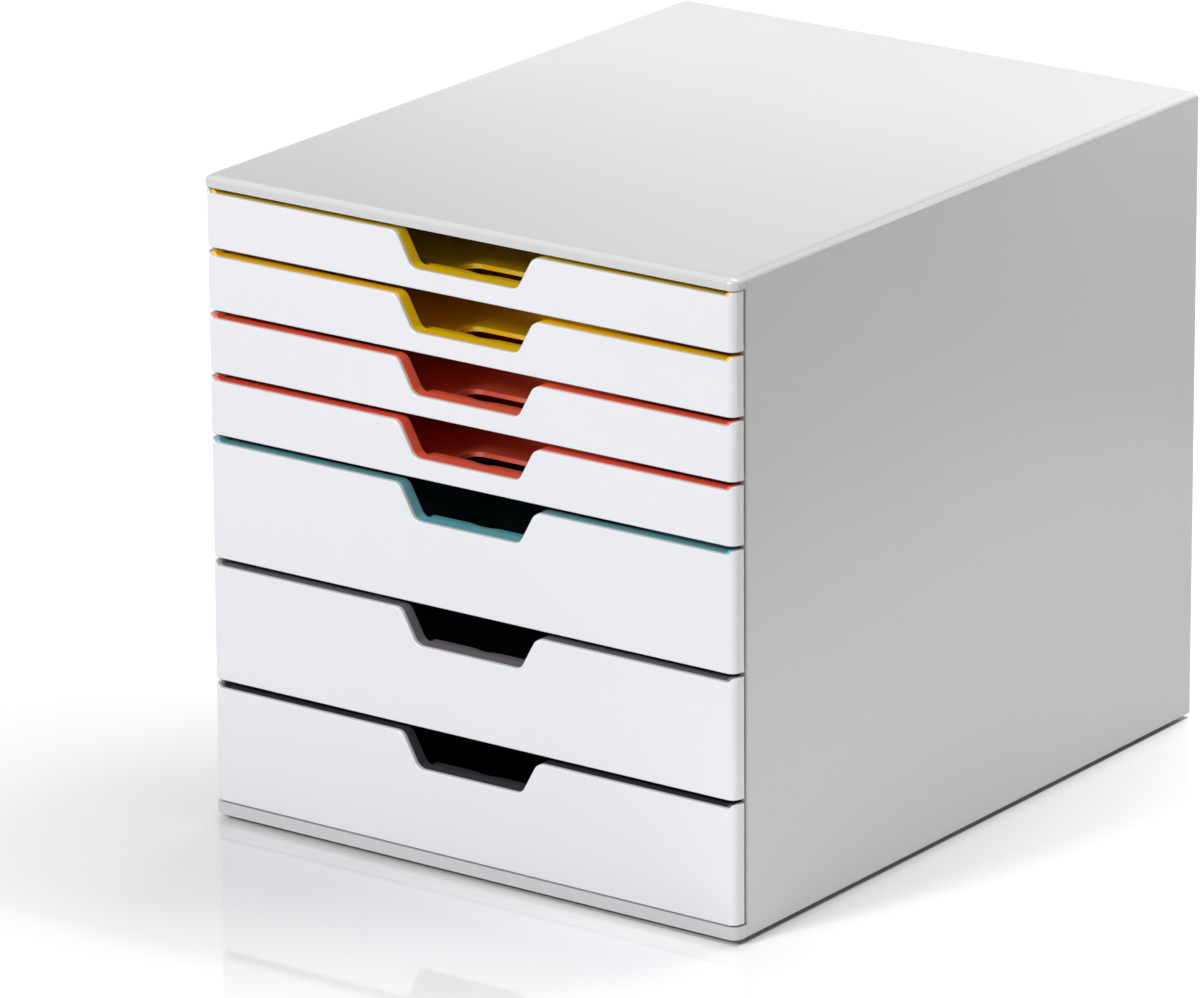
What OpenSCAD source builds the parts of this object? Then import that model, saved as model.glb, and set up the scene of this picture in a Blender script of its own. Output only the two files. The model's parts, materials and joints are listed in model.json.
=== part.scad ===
// Desktop drawer tower: grey casing, seven sliding trays with white snap-on fronts.
// Inside the modules x runs to the right from the middle, y runs back from the
// plane of the fronts and z runs up from the underside of the casing.

/* [Casing] */
// Width over the side panels
body_w = 280; // [240:1:340]
// Depth from the fronts to the rear edge
body_d = 357; // [300:1:420]
// Thickness of a side panel
side_t = 3; // [2:0.2:5]
// Thickness of the top cover, which is the height of its rolled edge too
cover_t = 2.8; // [1.8:0.1:4]
// Thickness of the base plate
base_t = 2.4; // [1.6:0.2:4]
// Thickness of the back panel
back_t = 2.4; // [1.6:0.2:4]
// Height of the front band of the base
band_h = 5.6; // [5.2:0.1:10]
// Height of the front band of the cover
cover_band_h = 5.4; // [5:0.1:10]
// Wall of the front bands, the rear lips and the locating lips
lip_t = 2; // [1.4:0.1:3]
// Height of the lips that locate the cover and the base
lip_h = 2.5; // [2:0.1:2.6]
// Plan radius of the front corners
corner_r = 4.4; // [3.6:0.1:4.8]
// Plan radius of the rear corners
rear_r = 2.5; // [1:0.5:4]
// Width of the rolled edge of the cover, seen from above
roll_w = 4.4; // [1:0.2:6]
// Width of the inward flange at the rear of a side panel
return_w = 5; // [3:0.5:10]

/* [Drawers] */
// Height of one drawer unit, a deep drawer takes two
pitch = 28.05; // [26:0.05:40]
// Thickness of a white front
front_t = 2; // [1.4:0.1:3]
// Distance that the sides of a front reach back from the front plane
front_d = 6.5; // [4.8:0.1:8]
// Wall of a tray
tray_t = 2; // [1.2:0.1:3]
// Floor of a tray
floor_t = 2.1; // [1.4:0.1:3.5]
// Depth of the coloured flange that carries the front
flange_d = 5.5; // [4:0.1:9]
// Drop from a drawer unit's top to the flange
flange_drop = 3.8; // [3.4:0.1:5]
// Rise of the two ends of a front above the flange
end_rise = 1.8; // [0.5:0.1:2.4]
// Width of the raised ends of a tray's front
end_w = 3.8; // [2.5:0.1:6]
// Drop of the tray walls below the flange
wall_drop = 0.6; // [0.3:0.1:2]

/* [Finger cut-out] */
// Width of the cut-out at its bottom
cut_bottom_w = 55; // [45:1:90]
// Width of the cut-out at its top
cut_top_w = 72; // [60:1:120]
// Depth of the cut-out below the flange
cut_h = 15.4; // [10:0.2:17]
// Radius of its two bottom corners
cut_bottom_r = 4.6; // [2:0.2:8]
// Radius of its two top corners
cut_top_r = 5; // [4:0.2:9]
// Widening of the flange along the flat bottom of the cut-out
lip_d = 0.9; // [0.3:0.1:2]
// Reach of the grip ledge behind that
ledge_d = 5.5; // [3:0.1:8]
// Step from the flange down to the grip ledge
ledge_step = 0.5; // [0.2:0.1:1.5]
// Fall of the grip ledge towards the back, in degrees
ledge_fall = 5; // [0:0.5:10]
// Width of the finger scoop in the rear edge of the ledge
scoop_w = 18; // [12:1:40]
// Depth of that scoop
scoop_d = 1.8; // [0.8:0.1:2.4]
// Width of the finger window in the floor of a shallow tray
window_w = 51; // [30:1:90]
// Distance from the front plane to the far edge of that window
window_y = 40; // [30:0.5:60]
// Corner radius of that window
window_r = 6; // [2:0.5:9]

/* [Runners] */
// Reach of a runner rib from the side panel
runner_w = 3.6; // [2.6:0.1:6]
// Thickness of a runner rib
runner_t = 2; // [1.4:0.1:2.4]
// Thickness of the rail on a tray
rail_t = 2; // [1.4:0.1:2.2]
// Distance from the front plane to the runner ribs
runner_y = 12; // [10:1:20]
// Distance from the front plane to the rear face of a stop block
stop_y = 70; // [40:1:120]
// Length of a stop block and of a stop lug
stop_l = 7; // [4:0.5:12]
// Height of a stop block and of a stop lug
stop_h = 2.6; // [1.8:0.1:3.5]

/* [Snap tabs] */
// Width of a snap tab of a front
tab_w = 14; // [8:1:24]
// Thickness of a snap tab
tab_t = 1.6; // [1:0.1:2.4]
// Distance between the left and the right tabs
tab_pitch = 170; // [130:2:200]
// Height of the lowest tabs above the bottom of a front
tab_z = 10; // [6:0.5:16]
// Catch on the end of a tab
tab_catch = 0.8; // [0.4:0.1:1.2]

/* [Feet] */
// Diameter of a foot
foot_d = 14; // [8:1:30]
// Height of a foot
foot_h = 2.7; // [1:0.1:8]
// Distance from the casing's sides and ends to a foot's centre
foot_inset = 24; // [16:1:60]

/* [Clearances] */
// Inset of a front from the casing's sides
side_gap = 0.7; // [0.3:0.1:1.5]
// Gap between a front's corner and the side panel behind it
front_gap = 1.4; // [0.4:0.1:2]
// Gap between the lowest front and the base band
bottom_gap = 0.6; // [0.4:0.1:1.5]
// Gap between the topmost front and the cover band
top_gap = 0.7; // [0.3:0.1:1.5]
// Running gap above and below a rail
rail_gap = 0.3; // [0.2:0.05:0.5]
// Running gap beside a tray wall and a rail
slide_gap = 0.6; // [0.3:0.05:1]
// Gap between a shut tray and the back panel
shut_gap = 0.3; // [0.2:0.05:1]
// Fit of the fixed pieces to each other
fit_gap = 0.1; // [0.05:0.05:0.2]

/* [Hidden] */

// Height of each drawer in units and its tray colour, from the top
DRAWER_UNITS = [1, 1, 1, 1, 2, 2, 2];
TRAY_COLOURS = ["#dfb414", "#dfb414", "#d7553e", "#d7553e", "#509ca8", "#706568", "#404144"];
CASING_GREY = "#c4c6c8";
FRONT_WHITE = "#e9e9ed";
FOOT_GREY = "#3a3a3c";

ARC_STEPS = 8;                                   // straight steps in a quarter turn
EPS = 0.01;                                      // overlap that fuses touching shapes

half_w = body_w / 2;
inner_x = half_w - side_t;                       // inner face of a side panel
band_d = front_d + front_gap;                    // the bands end where the side panels start
tray_x = inner_x - runner_w - slide_gap;         // outer face of a tray wall
rail_x = inner_x - slide_gap;                    // outer face of a rail
front_x = half_w - side_gap;                     // outer face of a front
nose_x = front_x - front_t - fit_gap;            // outer face of a tray's front wall
return_y = body_d - lip_t;                       // the back panel rests on the rear flanges
back_y = return_y - back_t;                      // front face of the back panel
tray_y = back_y - shut_gap;                      // rear face of a shut tray
flange_y = front_t + flange_d;                   // rear edge of the flange
lip_y = flange_y + lip_d;                        // front edge of the grip ledge
stack_z = band_h + bottom_gap;                   // bottom of the lowest front
top_units = drawer_z_units(0);
cover_band_z = stack_z + top_units * pitch + flange_z(0) + end_rise + top_gap;
casing_h = cover_band_z + cover_band_h;
cover_z = casing_h - cover_t;                    // underside of the cover, top of the side panels
flank_a = atan((cut_top_w - cut_bottom_w) / 2 / cut_h);

// Units below drawer i, its bottom, its flange, its rail, all counted from the top drawer
function drawer_z_units(i) = i >= len(DRAWER_UNITS) - 1 ? 0
    : DRAWER_UNITS[i + 1] + drawer_z_units(i + 1);
function drawer_z(i) = stack_z + drawer_z_units(i) * pitch;
function flange_z(i) = DRAWER_UNITS[i] * pitch - flange_drop;
function rail_z(i) = flange_z(i) - wall_drop - rail_t;

function arc(x, y, r, from, to) =
    [for (k = [0:ARC_STEPS]) let (a = from + (to - from) * k / ARC_STEPS)
        [x + r * cos(a), y + r * sin(a)]];

function mirrored(points) =
    [for (k = [len(points) - 1:-1:0]) [-points[k][0], points[k][1]]];

// Rounded corner of a plan, or the bare corner if its radius is zero
function corner(x, y, r, from, to) = r > 0 ? arc(x, y, r, from, to) : [[x, y]];

// Plan of a plate that is centred in x, with its own radius on the front and rear corners
function plan(x, y0, y1, front_radius, rear_radius) =
    let (right = concat(
        corner(x - front_radius, y0 + front_radius, front_radius, -90, 0),
        corner(x - rear_radius, y1 - rear_radius, rear_radius, 0, 90)))
    concat(right, mirrored(right));

// Right half of a front's top edge, from the middle of the cut-out outwards.
// inset moves the edge into the material.
function cut_edge(top, inset) =
    let (
        bottom = top - cut_h,
        foot_run = cut_bottom_r * (1 - sin(flank_a)) / cos(flank_a),
        head_run = cut_top_r * (1 - sin(flank_a)) / cos(flank_a),
        foot_x = cut_bottom_w / 2 + foot_run * sin(flank_a) - cut_bottom_r * cos(flank_a),
        head_x = cut_top_w / 2 - head_run * sin(flank_a) + cut_top_r * cos(flank_a))
    concat(
        arc(foot_x, bottom + cut_bottom_r, cut_bottom_r + inset, -90, -flank_a),
        arc(head_x, top - cut_top_r, cut_top_r - inset, 180 - flank_a, 90));

// Front view of a drawer's face: the cut-out in its top edge and two raised ends
function face_outline(top, inset, x, rise_x, rise, bottom) =
    let (right = concat(
        cut_edge(top, inset),
        [[rise_x, top - inset], [rise_x + rise, top + rise - inset],
         [x, top + rise - inset], [x, bottom]]))
    concat(mirrored(right), right);

// Puts what is drawn from the front plane and the casing's underside in its place
module placed() {
    translate([0, -body_d / 2, foot_h]) children();
}

// Extrudes a front view from y0 back to y1
module deep(y0, y1) {
    translate([0, y1, 0]) rotate([90, 0, 0]) linear_extrude(y1 - y0) children();
}

module block(x0, x1, y0, y1, z0, z1) {
    translate([x0, y0, z0]) cube([x1 - x0, y1 - y0, z1 - z0]);
}

// Both sides of a symmetric pair
module both_sides() {
    children();
    mirror([1, 0, 0]) children();
}

// Front wall of a band: a thin wall that follows the two rounded corners
module band_wall(z0, z1) {
    translate([0, 0, z0]) linear_extrude(z1 - z0) intersection() {
        difference() {
            polygon(plan(half_w, 0, body_d, corner_r, rear_r));
            polygon(plan(half_w - lip_t, lip_t, body_d, corner_r - lip_t, rear_r));
        }
        translate([-half_w, 0]) square([body_w, band_d]);
    }
}

// Lips that locate a horizontal shell between the side panels, and its rear lip
module casing_lips(z0, z1) {
    both_sides() block(inner_x - fit_gap - lip_t, inner_x - fit_gap, band_d + lip_t,
        back_y - fit_gap, z0, z1);
    block(-inner_x + return_w, inner_x - return_w, return_y + fit_gap, body_d, z0, z1);
}

module top_cover() {
    color(CASING_GREY) placed() {
        translate([0, 0, cover_z]) hull() {
            for (k = [0:6]) let (a = k * 90 / 6, inset = roll_w * (1 - cos(a)), keep = 0.1 + 0.9 * cos(a))
                linear_extrude(max(EPS, cover_t * sin(a)))
                    polygon(plan(half_w - inset, inset, body_d - inset,
                        corner_r * keep, rear_r * keep));
        }
        band_wall(cover_band_z, cover_z + EPS);
        casing_lips(cover_z - lip_h, cover_z + EPS);
    }
}

module base_plate() {
    color(CASING_GREY) placed() {
        linear_extrude(base_t) {
            intersection() {
                polygon(plan(half_w, 0, body_d, corner_r, rear_r));
                translate([-half_w, 0]) square([body_w, band_d]);
            }
            translate([-inner_x + fit_gap, band_d - EPS])
                square([2 * (inner_x - fit_gap), return_y - band_d + EPS]);
            translate([-inner_x + return_w, return_y - EPS])
                square([2 * (inner_x - return_w), lip_t + EPS]);
        }
        band_wall(0, band_h);
        casing_lips(base_t - EPS, base_t + lip_h);
    }
}

// Runner channel of drawer i: a rib below the rail, a rib above it, and a stop block
module runner_channel(i) {
    rib_z = drawer_z(i) + rail_z(i) - rail_gap - runner_t;
    guard_z = drawer_z(i) + rail_z(i) + rail_t + rail_gap;
    rib_x = inner_x - runner_w;
    block(rib_x, inner_x + EPS, runner_y, back_y - fit_gap, rib_z, rib_z + runner_t);
    block(rib_x, inner_x + EPS, runner_y, back_y - fit_gap, guard_z, guard_z + runner_t);
    block(rib_x, inner_x + EPS, stop_y - stop_l, stop_y, rib_z - stop_h, rib_z + EPS);
}

// Right side panel: a flat wall with a rounded front edge, a rear flange and the channels
module side_panel() {
    linear_extrude(cover_z) {
        difference() {
            polygon(concat(
                arc(half_w - side_t / 3, band_d + side_t / 3, side_t / 3, -90, 0),
                arc(half_w - rear_r, body_d - rear_r, rear_r, 0, 90),
                [[inner_x - return_w, body_d], [inner_x - return_w, band_d]]));
            translate([inner_x - return_w - EPS, band_d - EPS])
                square([return_w + EPS, return_y - band_d + EPS]);
        }
    }
    for (i = [0:len(DRAWER_UNITS) - 1]) runner_channel(i);
}

module right_side_panel() {
    color(CASING_GREY) placed() side_panel();
}

module left_side_panel() {
    color(CASING_GREY) placed() mirror([1, 0, 0]) side_panel();
}

module back_panel() {
    color(CASING_GREY) placed()
        block(-inner_x + fit_gap, inner_x - fit_gap, back_y, return_y,
            base_t + fit_gap, cover_z - fit_gap);
}

// A foot sticks to the underside of the base plate
module foot(side, end) {
    foot_x = side * (half_w - foot_inset);
    foot_y = body_d / 2 + end * (body_d / 2 - foot_inset);
    color(FOOT_GREY) placed()
        translate([foot_x, foot_y, -foot_h]) cylinder(h = foot_h, d = foot_d, $fn = 48);
}

// Heights of the rows of snap tabs of drawer i, above the bottom of its front
function tab_rows(i) = [for (k = [1:DRAWER_UNITS[i]]) tab_z + (k - 1) * pitch];

// Places a tab or its slot in each row, left and right
module at_tabs(i) {
    for (z = tab_rows(i)) both_sides() translate([tab_pitch / 2, 0, z]) children();
}

// White front of drawer i: a thin shell with rounded corners and snap tabs
module drawer_front(i) {
    top = flange_z(i);
    wall_y = front_t + tray_t;
    color(FRONT_WHITE) placed() translate([0, 0, drawer_z(i)]) {
        intersection() {
            linear_extrude(top + end_rise) difference() {
                polygon(plan(front_x, 0, body_d, corner_r, rear_r));
                polygon(plan(front_x - front_t, front_t, body_d + front_t,
                    corner_r - front_t, rear_r));
            }
            deep(-EPS, front_d)
                polygon(face_outline(top, 0, half_w, nose_x - end_rise, end_rise, 0));
        }
        at_tabs(i) {
            block(-tab_w / 2, tab_w / 2, front_t - EPS, wall_y + fit_gap + tab_t, 0, tab_t);
            block(-tab_w / 2, tab_w / 2, wall_y + fit_gap, wall_y + fit_gap + tab_t,
                0, tab_t + tab_catch);
        }
    }
}

// Front view of a tray's front wall, from the floor up to the flange
module tray_face(i, inset, x) {
    polygon(face_outline(flange_z(i), inset, x, nose_x - end_w, end_rise - fit_gap * 2, fit_gap * 2));
}

// Plan of the grip ledge from its front edge: the scoop is three arcs that run into each other
function ledge_plan(half) =
    let (
        scoop_a = 2 * atan(2 * scoop_d / scoop_w),
        scoop_r = scoop_w / 4 / sin(scoop_a))
    concat([[-half, -tray_t], [half, -tray_t], [half, ledge_d]],
        arc(scoop_w / 2, ledge_d - scoop_r, scoop_r, 90, 90 + scoop_a),
        arc(0, ledge_d - scoop_d + scoop_r, scoop_r, scoop_a - 90, -90 - scoop_a),
        arc(-scoop_w / 2, ledge_d - scoop_r, scoop_r, 90 - scoop_a, 90),
        [[-half, ledge_d]]);

// Grip ledge behind the bottom of the cut-out, falling towards the back
module grip_ledge(i) {
    half = cut_bottom_w / 2;
    top = flange_z(i) - cut_h;
    lip_half = half - cut_bottom_r / 2;
    block(-lip_half, lip_half, flange_y - tray_t, lip_y, top - tray_t, top);
    translate([0, lip_y, top - ledge_step]) rotate([-ledge_fall, 0, 0])
        translate([0, 0, -tray_t]) linear_extrude(tray_t) polygon(ledge_plan(half));
}

// Tray of drawer i: box, front wall with flange and ledge, side rails and stop lugs
module drawer_tray(i) {
    wall_top = flange_z(i) - wall_drop;
    bottom = fit_gap * 2;
    lug_top = rail_z(i) - rail_gap * 2 - runner_t;
    color(TRAY_COLOURS[i]) placed() translate([0, 0, drawer_z(i)]) {
        difference() {
            union() {
                difference() {
                    translate([0, 0, bottom]) linear_extrude(wall_top - bottom)
                        polygon(plan(tray_x, front_t, tray_y, 0, 2 * tray_t));
                    translate([0, 0, bottom + floor_t]) linear_extrude(wall_top)
                        polygon(plan(tray_x - tray_t, front_t - EPS, tray_y - tray_t, 0, tray_t));
                }
                intersection() {
                    union() {
                        linear_extrude(flange_z(i) + end_rise)
                            polygon(plan(nose_x, front_t, front_d, corner_r - front_t, 0));
                        linear_extrude(flange_z(i))
                            translate([-rail_x, front_d - EPS]) square([2 * rail_x, flange_y]);
                    }
                    union() {
                        deep(front_t, front_t + tray_t) tray_face(i, 0, nose_x);
                        deep(front_t, flange_y) difference() {
                            tray_face(i, 0, nose_x);
                            tray_face(i, tray_t, half_w);
                        }
                    }
                }
                grip_ledge(i);
                both_sides() {
                    block(tray_x - EPS, rail_x, runner_y, tray_y - 2 * tray_t,
                        rail_z(i), rail_z(i) + rail_t);
                    block(tray_x - EPS, rail_x, tray_y - 2 * tray_t - stop_l, tray_y - 2 * tray_t,
                        lug_top - stop_h, lug_top);
                }
            }
            if (DRAWER_UNITS[i] == 1)
                linear_extrude(floor_t + 2 * bottom)
                    polygon(plan(window_w / 2, flange_y, window_y, 0, window_r));
            at_tabs(i) block(-tab_w / 2 - fit_gap, tab_w / 2 + fit_gap, front_t - EPS,
                front_t + tray_t + EPS, -fit_gap, tab_t + tab_catch + fit_gap);
        }
    }
}

top_cover();
base_plate();
left_side_panel();
right_side_panel();
back_panel();
foot(-1, -1);  // foot_front_left
foot(1, -1);  // foot_front_right
foot(-1, 1);  // foot_back_left
foot(1, 1);  // foot_back_right
for (i = [0:len(DRAWER_UNITS) - 1]) {
    drawer_tray(i);
    drawer_front(i);
}
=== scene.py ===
import json
import math

import bpy
from mathutils import Matrix, Vector


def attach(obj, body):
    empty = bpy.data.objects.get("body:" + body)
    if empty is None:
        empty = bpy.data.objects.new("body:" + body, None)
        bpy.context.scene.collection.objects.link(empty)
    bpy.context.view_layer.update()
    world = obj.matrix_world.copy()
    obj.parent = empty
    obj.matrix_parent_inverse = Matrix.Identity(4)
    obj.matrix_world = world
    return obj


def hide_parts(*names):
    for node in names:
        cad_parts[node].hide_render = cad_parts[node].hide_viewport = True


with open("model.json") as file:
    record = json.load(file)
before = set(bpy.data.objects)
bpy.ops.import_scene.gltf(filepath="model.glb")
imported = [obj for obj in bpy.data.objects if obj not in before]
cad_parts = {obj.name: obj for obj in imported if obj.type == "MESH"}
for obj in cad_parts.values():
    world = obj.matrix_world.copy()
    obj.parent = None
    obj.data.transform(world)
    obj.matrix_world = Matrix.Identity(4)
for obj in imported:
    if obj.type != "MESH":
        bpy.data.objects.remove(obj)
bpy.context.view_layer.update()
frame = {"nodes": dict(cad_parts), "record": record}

# Base plate
# The lowest shell of the casing, injection moulded in grey polystyrene: a flat plate with a
# band that closes the face, and lips over which the side panels and the back are pushed.
# Here and below, sizes are in millimetres, and heights count from the casing's underside.
BODY_W, BODY_D, FOOT_H = 280, 357, 2.7
CORNER_R, BAND_D = 4.4, 7.9
SIDE_T, LIP_T, LIP_H, BASE_T, BASE_BAND_H = 3, 2, 2.5, 2.4, 5.6
TONGUE_D = 9                            # depth of the plate's tongue between the rear flanges
BACK_Y = 352.6                          # front face of the back panel
INNER_X = BODY_W / 2 - SIDE_T           # inner face of a side panel
RETURN_W = 5                            # width of the side panels' rear flanges
RETURN_X = INNER_X - RETURN_W
PLAY = 0.1                              # room between pieces that are pushed together
SINK = 0.5                              # what is fused starts this far inside what carries it
BEYOND = 20                             # a cutter ends here, past the band that it hollows
NEAR = 0.1                              # a point this close to a plane counts as on it
STRAIGHT = 0.01                         # an edge that strays less than this is parallel to an axis
SHARP = math.radians(32)                # from this turn on, an edge of the form is sharp


def linear(hex_colour):
    """A colour written as sRGB hex, as the linear colour that a shader takes."""
    channels = [int(hex_colour[k:k + 2], 16) / 255 for k in (1, 3, 5)]
    return [c / 12.92 if c <= 0.04045 else ((c + 0.055) / 1.055) ** 2.4 for c in channels] + [1.0]


def new_material(name):
    """A material whose nodes are still to be added."""
    material = bpy.data.materials.new(name)
    material.use_nodes = True
    material.node_tree.nodes.clear()
    return material


def add_node(material, kind, settings=None, links=None):
    """Adds one shader node, sets its sockets or properties, and links its inputs. A socket goes
    by its name, or by its number where two have the same name."""
    node = material.node_tree.nodes.new(kind)
    for name, value in (settings or {}).items():
        if isinstance(name, int) or name in node.inputs:
            node.inputs[name].default_value = value
        else:
            setattr(node, name, value)
    for name, source in (links or {}).items():
        material.node_tree.links.new(source, node.inputs[name])
    return node


FLOW_MM, GRAIN_MM, GRAIN_DEPTH, ROUGHNESS_SPREAD = 90, 0.6, 0.004, 0.03


def moulded_polystyrene(name, colour, shade, roughness):
    """Injection moulded high-impact polystyrene. The polished mould gives it a soft gloss, the
    melt's flow leaves clouds of a slightly darker shade that are a little less glossy, and a
    fine grain breaks up its reflections. The grain is drawn coarser than the real one."""
    material = new_material(name)
    place = add_node(material, "ShaderNodeTexCoord").outputs["Object"]
    flow = add_node(material, "ShaderNodeTexNoise", {"Scale": 1000 / FLOW_MM, "Detail": 1.0},
                    {"Vector": place})
    tint = add_node(material, "ShaderNodeMix",
                    {"data_type": "RGBA", 6: linear(colour), 7: linear(shade)},
                    {0: flow.outputs["Fac"]})
    gloss = add_node(material, "ShaderNodeMapRange",
                     {"clamp": False, "To Min": roughness - ROUGHNESS_SPREAD,
                      "To Max": roughness + ROUGHNESS_SPREAD}, {"Value": flow.outputs["Fac"]})
    grain = add_node(material, "ShaderNodeTexNoise", {"Scale": 1000 / GRAIN_MM, "Detail": 1.0},
                     {"Vector": place})
    relief = add_node(material, "ShaderNodeBump",
                      {"Strength": 1.0, "Distance": GRAIN_DEPTH / 1000},
                      {"Height": grain.outputs["Fac"]})
    shader = add_node(material, "ShaderNodeBsdfPrincipled", {"IOR": 1.59},
                      {"Base Color": tint.outputs[2], "Roughness": gloss.outputs["Result"],
                       "Normal": relief.outputs["Normal"]})
    add_node(material, "ShaderNodeOutputMaterial", None, {"Surface": shader.outputs["BSDF"]})
    return material


# A neutral grey, a little less glossy than the fronts, so its highlights have soft edges
casing_grey = moulded_polystyrene("casing_grey_polystyrene", "#cacbca", "#c7c8c7", 0.22)


def at(x, y, z):
    """A point given in millimetres from the middle, the front plane and the casing's underside."""
    return Vector((x, y - BODY_D / 2, z + FOOT_H)) / 1000


def add_block(x, y, z):
    """A cube primitive from x[0] to x[1], y[0] to y[1] and z[0] to z[1], in millimetres."""
    bpy.ops.object.select_all(action="DESELECT")
    low, high = at(x[0], y[0], z[0]), at(x[1], y[1], z[1])
    bpy.ops.mesh.primitive_cube_add(size=1, location=(low + high) / 2)
    piece = bpy.context.object
    piece.scale = high - low
    bpy.ops.object.transform_apply(location=True, rotation=False, scale=True)
    return piece


def pick(piece):
    """Makes a piece the only one that is selected, and the active one."""
    bpy.ops.object.select_all(action="DESELECT")
    piece.select_set(True)
    bpy.context.view_layer.objects.active = piece


def edit_mode(piece, kind):
    """Opens a piece in edit mode with everything selected."""
    pick(piece)
    bpy.ops.object.mode_set(mode="EDIT")
    bpy.ops.mesh.select_mode(type=kind)
    bpy.ops.mesh.select_all(action="SELECT")


def round_edges(piece, wanted, radius, segments):
    """Bevels the sharp edges whose two ends, in millimetres, wanted() both accepts."""
    edit_mode(piece, "EDGE")
    bpy.ops.mesh.select_all(action="DESELECT")
    bpy.ops.mesh.edges_select_sharp(sharpness=SHARP)
    bpy.ops.object.mode_set(mode="OBJECT")
    zero = at(0, 0, 0)
    ends = [(v.co - zero) * 1000 for v in piece.data.vertices]
    chosen = [edge.select and wanted(*(ends[k] for k in edge.vertices))
              for edge in piece.data.edges]
    for elements in (piece.data.vertices, piece.data.polygons):
        elements.foreach_set("select", [False] * len(elements))
    piece.data.edges.foreach_set("select", chosen)
    bpy.ops.object.mode_set(mode="EDIT")
    bpy.ops.mesh.bevel(offset=radius / 1000, segments=segments, affect="EDGES",
                       clamp_overlap=False)
    bpy.ops.object.mode_set(mode="OBJECT")


def upright_at(y, outside=100):
    """Picks the upright edges that far behind the front plane, and further out than outside."""
    return lambda a, b: (abs(a.x - b.x) + abs(a.y - b.y) < STRAIGHT and abs(a.x) > outside
                         and abs(a.y - y) < 1)


def apply_modifier(piece, kind, **settings):
    """Gives a piece a modifier with these settings and applies it."""
    step = piece.modifiers.new(kind.lower(), kind)
    for name, value in settings.items():
        setattr(step, name, value)
    bpy.context.view_layer.objects.active = piece
    bpy.ops.object.modifier_apply(modifier=step.name)


def apply_boolean(piece, other, operation):
    """Fuses other to piece (UNION) or cuts it out (DIFFERENCE), and removes it."""
    apply_modifier(piece, "BOOLEAN", operation=operation, object=other, solver="EXACT")
    bpy.data.objects.remove(other)


def clean(piece):
    """Merges doubles and dissolves the edges inside flat faces."""
    edit_mode(piece, "VERT")
    bpy.ops.mesh.remove_doubles(threshold=0.000002)
    bpy.ops.mesh.dissolve_limited(angle_limit=math.radians(0.4))
    bpy.ops.object.mode_set(mode="OBJECT")


body_of = {node: body for body, nodes in frame["record"]["behaviour"]["bodies"].items()
           for node in nodes}


def finish_piece(piece, node, material, edge_mm):
    """Breaks the sharp edges as a mould does, sets the shading, and puts the piece on its body."""
    clean(piece)
    if edge_mm:
        apply_modifier(piece, "BEVEL", width=edge_mm / 1000, segments=3, limit_method="ANGLE",
                       angle_limit=SHARP)
    pick(piece)
    bpy.ops.object.shade_smooth_by_angle(angle=math.radians(40))
    apply_modifier(piece, "WEIGHTED_NORMAL", keep_sharp=True)
    piece.name = node + "_piece"
    piece.data.materials.clear()
    piece.data.materials.append(material)
    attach(piece, body_of[node])
    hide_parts(node)


def across(side, near, far):
    """The range in x between two distances from the middle, on the left (-1) or right (1)."""
    return sorted((side * near, side * far))


def add_band(z, hollow_z):
    """Front band of a shell: a block with round front corners, with a hollow behind its face."""
    band = add_block((-BODY_W / 2, BODY_W / 2), (0, BAND_D), z)
    round_edges(band, upright_at(0), CORNER_R, segments=10)
    hollow = add_block((LIP_T - BODY_W / 2, BODY_W / 2 - LIP_T), (LIP_T, BEYOND), hollow_z)
    round_edges(hollow, upright_at(LIP_T), CORNER_R - LIP_T, segments=10)
    apply_boolean(band, hollow, "DIFFERENCE")
    return band


def add_lips(shell, z):
    """Fuses the lips that locate the side panels, and the rear lip, to a shell."""
    lip_x = INNER_X - PLAY
    for side in (-1, 1):
        apply_boolean(shell, add_block(across(side, lip_x - LIP_T, lip_x),
                                       (BAND_D + LIP_T, BACK_Y - PLAY), z), "UNION")
    apply_boolean(shell, add_block((-RETURN_X, RETURN_X), (BODY_D - LIP_T + PLAY, BODY_D), z),
                  "UNION")


base_plate = add_band((0, BASE_BAND_H), (BASE_T, BEYOND))
for half_width, y in ((INNER_X - PLAY, (BAND_D - 2 * SINK, BODY_D - LIP_T)),
                      (RETURN_X, (BODY_D - TONGUE_D, BODY_D))):
    apply_boolean(base_plate, add_block((-half_width, half_width), y, (0, BASE_T)), "UNION")
add_lips(base_plate, (BASE_T - SINK, BASE_T + LIP_H))
finish_piece(base_plate, "base_plate", casing_grey, 0.3)

# Feet
# Four self-adhesive rubber pads near the corners of the base plate, dished underneath.
FOOT_D, FOOT_INSET = 14, 24
FOOT_RIM, FOOT_SLOPE, FOOT_DISH = 1.8, 0.6, 0.4
PIT_MM, PIT_DEPTH = 0.5, 0.02


def moulded_rubber(name, colour, roughness):
    """Moulded rubber: dark and matt, with a fine pitted skin."""
    material = new_material(name)
    place = add_node(material, "ShaderNodeTexCoord").outputs["Object"]
    pits = add_node(material, "ShaderNodeTexNoise", {"Scale": 1000 / PIT_MM, "Detail": 4.0},
                    {"Vector": place})
    relief = add_node(material, "ShaderNodeBump",
                      {"Strength": 0.6, "Distance": PIT_DEPTH / 1000},
                      {"Height": pits.outputs["Fac"]})
    shader = add_node(material, "ShaderNodeBsdfPrincipled",
                      {"Base Color": linear(colour), "Roughness": roughness, "IOR": 1.52},
                      {"Normal": relief.outputs["Normal"]})
    add_node(material, "ShaderNodeOutputMaterial", None, {"Surface": shader.outputs["BSDF"]})
    return material


def edit_faces(piece, outward):
    """Opens a piece in edit mode with the faces selected that look in one direction."""
    edit_mode(piece, "FACE")
    bpy.ops.mesh.select_all(action="DESELECT")
    bpy.ops.object.mode_set(mode="OBJECT")
    for face in piece.data.polygons:
        face.select = face.normal.dot(Vector(outward)) > 0.9
    bpy.ops.object.mode_set(mode="EDIT")


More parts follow.
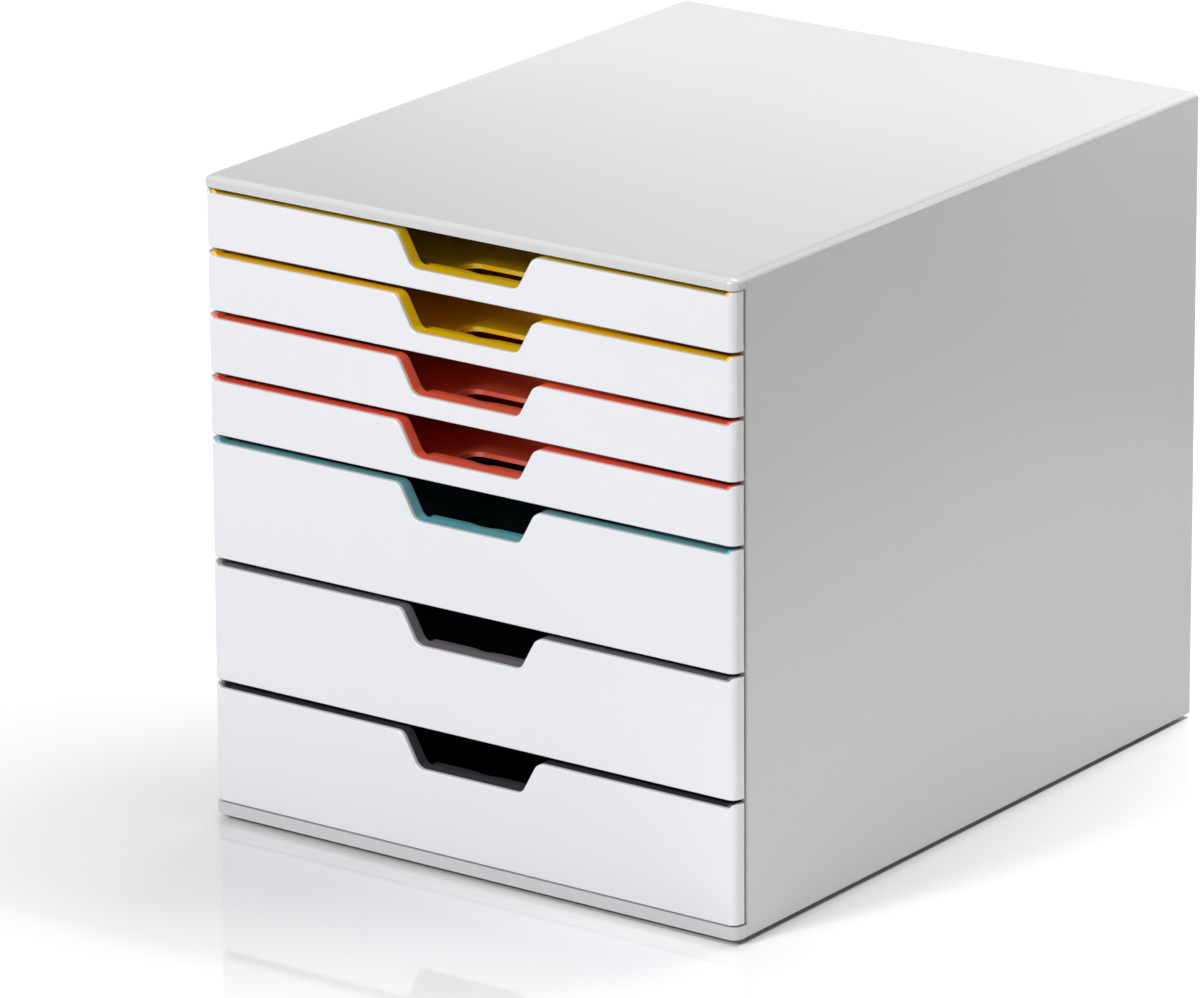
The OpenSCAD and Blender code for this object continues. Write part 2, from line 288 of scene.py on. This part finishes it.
foot_rubber = moulded_rubber("foot_rubber", "#3a3a3c", 0.75)
for end, y in (("front", FOOT_INSET), ("back", BODY_D - FOOT_INSET)):
    for side, x in (("left", FOOT_INSET - BODY_W / 2), ("right", BODY_W / 2 - FOOT_INSET)):
        bpy.ops.object.select_all(action="DESELECT")
        bpy.ops.mesh.primitive_cylinder_add(vertices=64, radius=FOOT_D / 2000,
                                            depth=FOOT_H / 1000, location=at(x, y, -FOOT_H / 2))
        foot = bpy.context.object
        bpy.ops.object.transform_apply(location=True)
        edit_faces(foot, (0, 0, -1))
        bpy.ops.mesh.inset(thickness=FOOT_RIM / 1000)
        bpy.ops.mesh.inset(thickness=FOOT_SLOPE / 1000, depth=-FOOT_DISH / 1000)
        bpy.ops.object.mode_set(mode="OBJECT")
        finish_piece(foot, "foot_{}_{}".format(end, side), foot_rubber, 0.4)

# Side panels
# Flat walls moulded in the same grey. Each has a rounded front edge, a flange at the rear on
# which the back panel rests, and two ribs for every drawer between which the tray's rail runs.
CASING_H, COVER_T, REAR_R = 290.8, 2.8, 2.5
COVER_Z = CASING_H - COVER_T
PITCH = 28.05
DRAWER_UNITS = [1, 1, 1, 1, 2, 2, 2]    # heights in pitches, from the top drawer down
STACK_Z = 6.2                           # bottom of the lowest front
FLANGE_DROP, WALL_DROP, RAIL_T, RAIL_GAP = 3.8, 0.6, 2, 0.3
RUNNER_W, RUNNER_T, RUNNER_Y = 3.6, 2, 12
STOP_Y, STOP_L, STOP_H = 70, 7, 2.6
FUSED_X = INNER_X + 1                   # ribs and flanges start this far inside the wall
drawer_z = [STACK_Z + sum(DRAWER_UNITS[k + 1:]) * PITCH for k in range(len(DRAWER_UNITS))]
flange_z = [units * PITCH - FLANGE_DROP for units in DRAWER_UNITS]
for side, name in ((-1, "left_side_panel"), (1, "right_side_panel")):
    panel = add_block(across(side, INNER_X, BODY_W / 2), (BAND_D, BODY_D), (0, COVER_Z))
    round_edges(panel, upright_at(BAND_D, BODY_W / 2 - NEAR), SIDE_T / 3, segments=5)
    round_edges(panel, upright_at(BODY_D, BODY_W / 2 - NEAR), REAR_R, segments=8)
    apply_boolean(panel, add_block(across(side, RETURN_X, FUSED_X), (BODY_D - LIP_T, BODY_D),
                                   (0, COVER_Z)), "UNION")
    rib_x = across(side, INNER_X - RUNNER_W, FUSED_X)
    for low, flange in zip(drawer_z, flange_z):
        rail_z = low + flange - WALL_DROP - RAIL_T
        rib_top = rail_z - RAIL_GAP
        guard_z = rail_z + RAIL_T + RAIL_GAP
        channel = [add_block(rib_x, (RUNNER_Y, BACK_Y - PLAY), z)
                   for z in ((rib_top - RUNNER_T, rib_top), (guard_z, guard_z + RUNNER_T))]
        stop = add_block(rib_x, (STOP_Y - STOP_L, STOP_Y),
                         (rib_top - RUNNER_T - STOP_H, rib_top - SINK))
        apply_boolean(channel[0], stop, "UNION")
        for rib in channel:
            apply_boolean(panel, rib, "UNION")
    finish_piece(panel, name, casing_grey, 0.25)

# Back panel
# A flat sheet moulded in grey that is pushed in against the flanges of the side panels. Its
# back can't be seen in the photograph; it has a shallow field inside a plain rim.
FIELD_RIM, FIELD_SLOPE, FIELD_DEPTH = 14, 0.6, 0.6
back_panel = add_block((PLAY - INNER_X, INNER_X - PLAY), (BACK_Y, BODY_D - LIP_T),
                       (BASE_T + PLAY, COVER_Z - PLAY))
edit_faces(back_panel, (0, 1, 0))
bpy.ops.mesh.inset(thickness=FIELD_RIM / 1000)
bpy.ops.mesh.inset(thickness=FIELD_SLOPE / 1000, depth=-FIELD_DEPTH / 1000)
bpy.ops.object.mode_set(mode="OBJECT")
finish_piece(back_panel, "back_panel", casing_grey, 0.3)

# Top cover
# The upper shell of the casing, moulded in the same grey: a flat plate whose edge rolls down
# all round in a quarter of an ellipse, and the same band and lips as the base plate.
COVER_BAND_Z, ROLL_W, ROLL_STEPS, HOLLOW_PAST = 285.4, 4.4, 12, 5
rises = [COVER_T * math.sin(math.pi / 2 * k / ROLL_STEPS) for k in range(1, ROLL_STEPS + 1)]
top_cover = add_block((-BODY_W / 2, BODY_W / 2), (0, BODY_D), (COVER_Z, COVER_Z + rises[0]))
round_edges(top_cover, upright_at(0), CORNER_R, segments=12)
round_edges(top_cover, upright_at(BODY_D), REAR_R, segments=8)
edit_faces(top_cover, (0, 0, 1))
for low, high in zip(rises, rises[1:]):
    bpy.ops.mesh.extrude_region_move(
        TRANSFORM_OT_translate={"value": (0, 0, (high - low) / 1000)})
bpy.ops.object.mode_set(mode="OBJECT")
for vertex in top_cover.data.vertices:  # the higher a point lies, the further it rolls in
    rise = min(max((vertex.co.z - at(0, 0, COVER_Z).z) * 1000 / COVER_T, 0), 1)
    inset = ROLL_W * (1 - math.sqrt(1 - rise ** 2))
    vertex.co.x *= 1 - inset / (BODY_W / 2)
    vertex.co.y *= 1 - inset / (BODY_D / 2)
cover_band = add_band((COVER_BAND_Z, COVER_Z),
                      (COVER_BAND_Z - HOLLOW_PAST, COVER_Z + HOLLOW_PAST))
apply_boolean(top_cover, cover_band, "UNION")
add_lips(top_cover, (COVER_Z - LIP_H, COVER_Z + SINK))
finish_piece(top_cover, "top_cover", casing_grey, 0.25)

# White fronts
# Thin glossy white shells, moulded apart and snapped on to the trays. Their ends turn back
# round the corners, the top edge dips to a finger cut-out and rises a little at both ends.
FRONT_T, FRONT_D, FRONT_EDGE_R, SIDE_GAP, TRAY_T = 2, 6.5, 0.7, 0.7, 2
FRONT_X = BODY_W / 2 - SIDE_GAP         # where the fronts end
NOSE_X = FRONT_X - FRONT_T - PLAY       # up to here the top edge is low, to clear the flange
CUT_BOTTOM_W, CUT_TOP_W, CUT_H = 55, 72, 15.4
CUT_BOTTOM_R, CUT_TOP_R = 4.6, 5
END_RISE, TAB_W, TAB_T, TAB_X, TAB_Z, TAB_CATCH = 1.8, 14, 1.6, 85, 10, 0.8
CUTTER_Y, CUTTER_H, CUTTER_PAST = (-9, 19), 30, 9      # the cutters reach past the front
# A cool white from a polished mould. It is the glossiest piece, with crisp lights on its edges
front_white = moulded_polystyrene("front_white_polystyrene", "#e3e4e7", "#e1e2e5", 0.16)


def top_edge_cutter(top):
    """What the top edge of a front leaves free: the cut-out, and the step down from the ends."""
    cutter = add_block((-NOSE_X, NOSE_X), CUTTER_Y, (top, top + CUTTER_H))
    round_edges(cutter, lambda a, b: max(a.z, b.z) < top + NEAR and abs(a.x + b.x) > NOSE_X,
                END_RISE, segments=1)
    dip = add_block((-CUT_TOP_W / 2, CUT_TOP_W / 2), CUTTER_Y, (top - CUT_H, top + CUTTER_PAST))
    for point in dip.data.vertices:
        if point.co.z < at(0, 0, top).z:
            point.co.x *= CUT_BOTTOM_W / CUT_TOP_W
        else:
            point.co.x *= 1 + CUTTER_PAST / CUT_H * (CUT_TOP_W - CUT_BOTTOM_W) / CUT_TOP_W
    apply_boolean(cutter, dip, "UNION")
    clean(cutter)

    def in_cutout(a, b):
        return abs(a.x - b.x) + abs(a.z - b.z) < STRAIGHT and abs(a.x) < CUT_TOP_W

    turn = math.pi / 2 - math.atan((CUT_TOP_W - CUT_BOTTOM_W) / 2 / CUT_H)
    round_edges(cutter, lambda a, b: in_cutout(a, b) and abs(a.z - top) < NEAR,
                CUT_TOP_R * math.tan(turn / 2), segments=10)
    round_edges(cutter, lambda a, b: in_cutout(a, b) and a.z < top - CUT_H + NEAR,
                CUT_BOTTOM_R * math.tan(turn / 2), segments=10)
    return cutter


def on_face(p):
    """True for a point on the outside of a front."""
    turn_x, turn_y = max(abs(p.x) - FRONT_X + CORNER_R, 0), max(CORNER_R - p.y, 0)
    return abs(math.hypot(turn_x, turn_y) - CORNER_R) < NEAR


def white_front(low, units):
    """The front of a drawer of that many units whose bottom is at low."""
    top = low + units * PITCH - FLANGE_DROP
    front = add_block((-FRONT_X, FRONT_X), (0, FRONT_D), (low, top + END_RISE))
    round_edges(front, upright_at(0), CORNER_R, segments=12)
    hollow = add_block((FRONT_T - FRONT_X, FRONT_X - FRONT_T), (FRONT_T, BEYOND),
                       (low - CUTTER_PAST, top + CUTTER_H))
    round_edges(hollow, upright_at(FRONT_T), CORNER_R - FRONT_T, segments=12)
    apply_boolean(front, hollow, "DIFFERENCE")
    apply_boolean(front, top_edge_cutter(top), "DIFFERENCE")
    clean(front)
    round_edges(front, lambda a, b: on_face(a) and on_face(b) and max(a.y, b.y) < FRONT_D - NEAR,
                FRONT_EDGE_R, segments=4)
    hook_y = FRONT_T + TRAY_T + PLAY    # behind the tray's front wall
    for row in range(units):
        for x in (-TAB_X, TAB_X):
            z = low + TAB_Z + row * PITCH
            width = (x - TAB_W / 2, x + TAB_W / 2)
            tab = add_block(width, (FRONT_T - SINK, hook_y + TAB_T), (z, z + TAB_T))
            hook = add_block(width, (hook_y, hook_y + TAB_T), (z + SINK, z + TAB_T + TAB_CATCH))
            apply_boolean(tab, hook, "UNION")
            apply_boolean(front, tab, "UNION")
    return front


# A front of each size is modelled low in the stack, both with their top edges at one height,
# and every drawer gets a copy of its own
for units in (1, 2):
    source_z = drawer_z[-1] + (2 - units) * PITCH
    source = white_front(source_z, units)
    for i, low in enumerate(drawer_z):
        if DRAWER_UNITS[i] == units:
            front = bpy.data.objects.new("front", source.data.copy())
            bpy.context.scene.collection.objects.link(front)
            front.data.transform(Matrix.Translation((0, 0, (low - source_z) / 1000)))
            finish_piece(front, "drawer_{}_front".format(i + 1), front_white, 0)
    bpy.data.objects.remove(source)

# Trays
# Open boxes moulded in coloured polystyrene. A flange along the top of the front wall follows
# the white front's edge, with a scooped ledge to pull on; rails on both sides run in the ribs.
TRAY_SLOTS = ["tray_yellow", "tray_yellow", "tray_red", "tray_red", "tray_teal", "tray_mauve",
              "tray_anthracite"]
# A less polished mould leaves them satin, so their rims catch the light without a hard glint
tray_plastic = {
    slot: moulded_polystyrene(slot + "_polystyrene", colour, shade, 0.24)
    for slot, colour, shade in (
        ("tray_yellow", "#fcd010", "#f9cc0e"), ("tray_red", "#f66a50", "#f2664c"),
        ("tray_teal", "#6cc0ca", "#69bcc6"), ("tray_mauve", "#84797a", "#817677"),
        ("tray_anthracite", "#47484b", "#454649"))}
for i, slot in enumerate(TRAY_SLOTS):
    node = "drawer_{}_tray".format(i + 1)
    tray = bpy.data.objects.new("tray", frame["nodes"][node].data.copy())
    bpy.context.scene.collection.objects.link(tray)
    finish_piece(tray, node, tray_plastic[slot], 0)

# Floor
# A sheet of glossy white acrylic. Where the camera or a reflection sees it, a painted glow lifts
# it to plain white away from the tower's left front corner, but not under the tower, so a thin
# dark line stays below the casing. From here on, sizes are in metres.
FLOOR_SIZE, FADE_CENTRE, FADE_FROM, FADE_TO, FADE_LEVEL = 12, (-0.13, -0.2, 0), 0.08, 0.5, 0.5
SHADOW_INSET = 0.001                    # the fade reaches this far in under the casing


def seen_directly(material):
    """1 for what the camera or a reflection sees, 0 for the light that falls on the pieces."""
    rays = add_node(material, "ShaderNodeLightPath")
    return add_node(material, "ShaderNodeMath", {"operation": "MAXIMUM"},
                    {0: rays.outputs["Is Camera Ray"],
                     1: rays.outputs["Is Glossy Ray"]}).outputs["Value"]


bpy.ops.object.select_all(action="DESELECT")
bpy.ops.mesh.primitive_plane_add(size=FLOOR_SIZE)
floor = bpy.context.object
floor.name = "floor"
# Cast acrylic with a polished face: it mirrors the tower's lower drawers, sharply and faintly
acrylic = new_material("floor_white_acrylic")
place = add_node(acrylic, "ShaderNodeTexCoord").outputs["Object"]
distance = add_node(acrylic, "ShaderNodeVectorMath", {"operation": "DISTANCE", 1: FADE_CENTRE},
                    {0: place})
fade = add_node(acrylic, "ShaderNodeMapRange",
                {"From Min": FADE_FROM, "From Max": FADE_TO, "To Max": FADE_LEVEL},
                {"Value": distance.outputs["Value"]})
offset = add_node(acrylic, "ShaderNodeVectorMath", {"operation": "ABSOLUTE"}, {0: place})
axes = add_node(acrylic, "ShaderNodeSeparateXYZ", None, {"Vector": offset.outputs["Vector"]})
beside = [add_node(acrylic, "ShaderNodeMath",
                   {"operation": "GREATER_THAN", 1: size / 2000 - SHADOW_INSET},
                   {0: axes.outputs[axis]}).outputs["Value"]
          for axis, size in (("X", BODY_W), ("Y", BODY_D))]
outside = add_node(acrylic, "ShaderNodeMath", {"operation": "MAXIMUM"},
                   {0: beside[0], 1: beside[1]})
open_fade = add_node(acrylic, "ShaderNodeMath", {"operation": "MULTIPLY"},
                     {0: fade.outputs["Result"], 1: outside.outputs["Value"]})
direct = seen_directly(acrylic)
# Painted light: the floor glows white for the camera and in reflections, up to half of white, more
# the further it lies from a point just off the tower's left front corner, and nowhere under the
# casing. Near that corner the floor shows only its own lit grey.
glow = add_node(acrylic, "ShaderNodeMath", {"operation": "MULTIPLY"},
                {0: open_fade.outputs["Value"], 1: direct})
tone = add_node(acrylic, "ShaderNodeMix",
                {"data_type": "RGBA", 6: linear("#a8a8a8"), 7: linear("#e4e4e4")}, {0: direct})
gloss = add_node(acrylic, "ShaderNodeBsdfPrincipled",
                 {"Roughness": 0.05, "IOR": 1.49, "Emission Color": (1, 1, 1, 1)},
                 {"Base Color": tone.outputs[2], "Emission Strength": glow.outputs["Value"]})
add_node(acrylic, "ShaderNodeOutputMaterial", None, {"Surface": gloss.outputs["BSDF"]})
floor.data.materials.append(acrylic)

# Light
# A white room: pure white where the camera or a reflection sees it, and dim where it lights
# the pieces, because the light comes from soft lamps in front, above and behind.
ROOM_LEVEL, AIM_Z = 0.12, 0.15
world = bpy.data.worlds.new("studio")
bpy.context.scene.world = world
world.use_nodes = True
world.node_tree.nodes.clear()
strength = add_node(world, "ShaderNodeMapRange", {"To Min": ROOM_LEVEL, "To Max": 1.0},
                    {"Value": seen_directly(world)})
sky = add_node(world, "ShaderNodeBackground", {"Color": (1, 1, 1, 1)},
               {"Strength": strength.outputs["Result"]})
add_node(world, "ShaderNodeOutputWorld", None, {"Surface": sky.outputs["Background"]})


def add_panel(name, location, rotation, size, energy):
    """A flat lamp, size wide and high."""
    bpy.ops.object.light_add(type="AREA", location=location, rotation=rotation)
    lamp = bpy.context.object
    lamp.name = name
    lamp.data.shape = "RECTANGLE"
    lamp.data.size, lamp.data.size_y = size
    lamp.data.energy = energy
    return lamp


# Azimuth counts from straight in front, to the right. At level 1 a white face that is turned
# to the lamp is as bright as white.
for name, azimuth, elevation, away, size, level, colour in (
        ("key", -15, 30, 5.0, (0.8, 0.8), 0.52, (0.98, 0.99, 1.02)),
        ("overhead", -5, 46, 3.0, (2.0, 1.6), 0.36, (0.99, 0.99, 1.01)),
        ("fill", 80, 5, 3.0, (1.6, 0.6), 0.16, (1, 1, 0.99)),
        ("rear", 180, 70, 3.0, (1.6, 1.6), 0.54, (1, 1, 0.99))):
    turn, tilt = math.radians(azimuth), math.radians(elevation)
    direction = Vector((math.sin(turn) * math.cos(tilt), -math.cos(turn) * math.cos(tilt),
                        math.sin(tilt)))
    aim = (-direction).to_track_quat("-Z", "Y").to_euler()
    lamp = add_panel(name, direction * away + Vector((0, 0, AIM_Z)), tuple(aim), size,
                     level * math.pi ** 2 * away ** 2)
    lamp.data.color = colour

# The table throws light up, much of it beside the tower and a little in front, and a small
# panel off the right side lights its upper rear corner. At level 1 a panel's own face is white.
for name, location, rotation, size, level in (
        ("table_glow_right", (0.302, 0.08, 0.001), (math.pi, 0, 0), (0.32, 0.9), 0.48),
        ("table_glow_front", (-0.02, -0.32, 0.001), (math.pi, 0, 0), (0.6, 0.2), 0.17),
        ("corner_glow", (0.30, 0.20, 0.40), (0, math.pi / 2, 0), (0.1, 0.15), 2.3)):
    lamp = add_panel(name, location, rotation, size, level * math.pi * size[0] * size[1])
    lamp.visible_camera = False

# A white card stands right behind the tower and shows only in reflections. It is what the
# cover's gloss picks up: it fades upwards and to the left, its lower part is brighter, and its
# right end is the highlight on the cover's rolled edge.
CARD_HALF_W, CARD_Y, CARD_H = 3000, (457, 458), 900    # in millimetres, as every block
CARD_Z = (CASING_H + FOOT_H) / 1000
CARD_LEVEL, CARD_FOOT_H, CARD_FOOT_LEVEL = 1.1, 0.085, 0.28
UP_FROM, UP_TO, LEFT_FROM, LEFT_TO, LEFT_START = 0.095, 0.182, -0.207, -0.427, 0.5
END_FROM, END_TO, END_LEVEL = 0.09, 0.12, 1.6
bright_card = add_block((-CARD_HALF_W, CARD_HALF_W), CARD_Y, (CASING_H, CASING_H + CARD_H))
bright_card.name = "bright_card"
bright_card.visible_camera = bright_card.visible_diffuse = bright_card.visible_shadow = False
card = new_material("card_white")
place = add_node(card, "ShaderNodeTexCoord").outputs["Object"]
axes = add_node(card, "ShaderNodeSeparateXYZ", None, {"Vector": place})
upward = add_node(card, "ShaderNodeMapRange",
                  {"From Min": CARD_Z + UP_FROM, "From Max": CARD_Z + UP_TO},
                  {"Value": axes.outputs["Z"]})
leftward = add_node(card, "ShaderNodeMapRange",
                    {"From Min": LEFT_FROM, "From Max": LEFT_TO, "To Min": LEFT_START,
                     "To Max": 1.0}, {"Value": axes.outputs["X"]})
fall = add_node(card, "ShaderNodeMath", {"operation": "MULTIPLY"},
                {0: upward.outputs["Result"], 1: leftward.outputs["Result"]})
level = add_node(card, "ShaderNodeMath", {"operation": "SUBTRACT", 0: CARD_LEVEL},
                 {1: fall.outputs["Value"]})
lower = add_node(card, "ShaderNodeMath", {"operation": "LESS_THAN", 1: CARD_Z + CARD_FOOT_H},
                 {0: axes.outputs["Z"]})
step = add_node(card, "ShaderNodeMath", {"operation": "MULTIPLY_ADD", 1: CARD_FOOT_LEVEL},
                {0: lower.outputs["Value"], 2: level.outputs["Value"]})
right_end = add_node(card, "ShaderNodeMapRange",
                     {"From Min": END_FROM, "From Max": END_TO, "To Max": END_LEVEL},
                     {"Value": axes.outputs["X"]})
total = add_node(card, "ShaderNodeMath", {"operation": "ADD"},
                 {0: step.outputs["Value"], 1: right_end.outputs["Result"]})
light = add_node(card, "ShaderNodeEmission", None, {"Strength": total.outputs["Value"]})
add_node(card, "ShaderNodeOutputMaterial", None, {"Surface": light.outputs["Emission"]})
bright_card.data.materials.append(card)

# Camera
# A long lens from the upper right, fitted to the casing's edges in the photograph, whose
# frame is 1200 by 998.
FRAME_W, FRAME_H, FOCAL_LENGTH, CENTRE_X, CENTRE_Y = 1200, 998, 8998.9, 627.3, 512.8
SENSOR_W = 36
CAMERA_PLACE = Vector((2.181646, -3.077735, 1.352223))
CAMERA_YAW = math.radians(35.882)
CAMERA_PITCH = math.radians(18.102)
CAMERA_ROLL = math.radians(0.330)
camera_data = bpy.data.cameras.new("camera")
camera = bpy.data.objects.new("camera", camera_data)
bpy.context.scene.collection.objects.link(camera)
camera.matrix_world = (Matrix.Translation(CAMERA_PLACE) @ Matrix.Rotation(CAMERA_YAW, 4, "Z")
                       @ Matrix.Rotation(math.pi / 2 - CAMERA_PITCH, 4, "X")
                       @ Matrix.Rotation(-CAMERA_ROLL, 4, "Z"))
camera_data.sensor_width = SENSOR_W
camera_data.lens = FOCAL_LENGTH / FRAME_W * SENSOR_W
camera_data.shift_x = (FRAME_W / 2 - CENTRE_X) / FRAME_W
camera_data.shift_y = (CENTRE_Y - FRAME_H / 2) / FRAME_W
camera_data.clip_end = 30
bpy.context.scene.camera = camera

bpy.context.scene.view_settings.view_transform = "Standard"
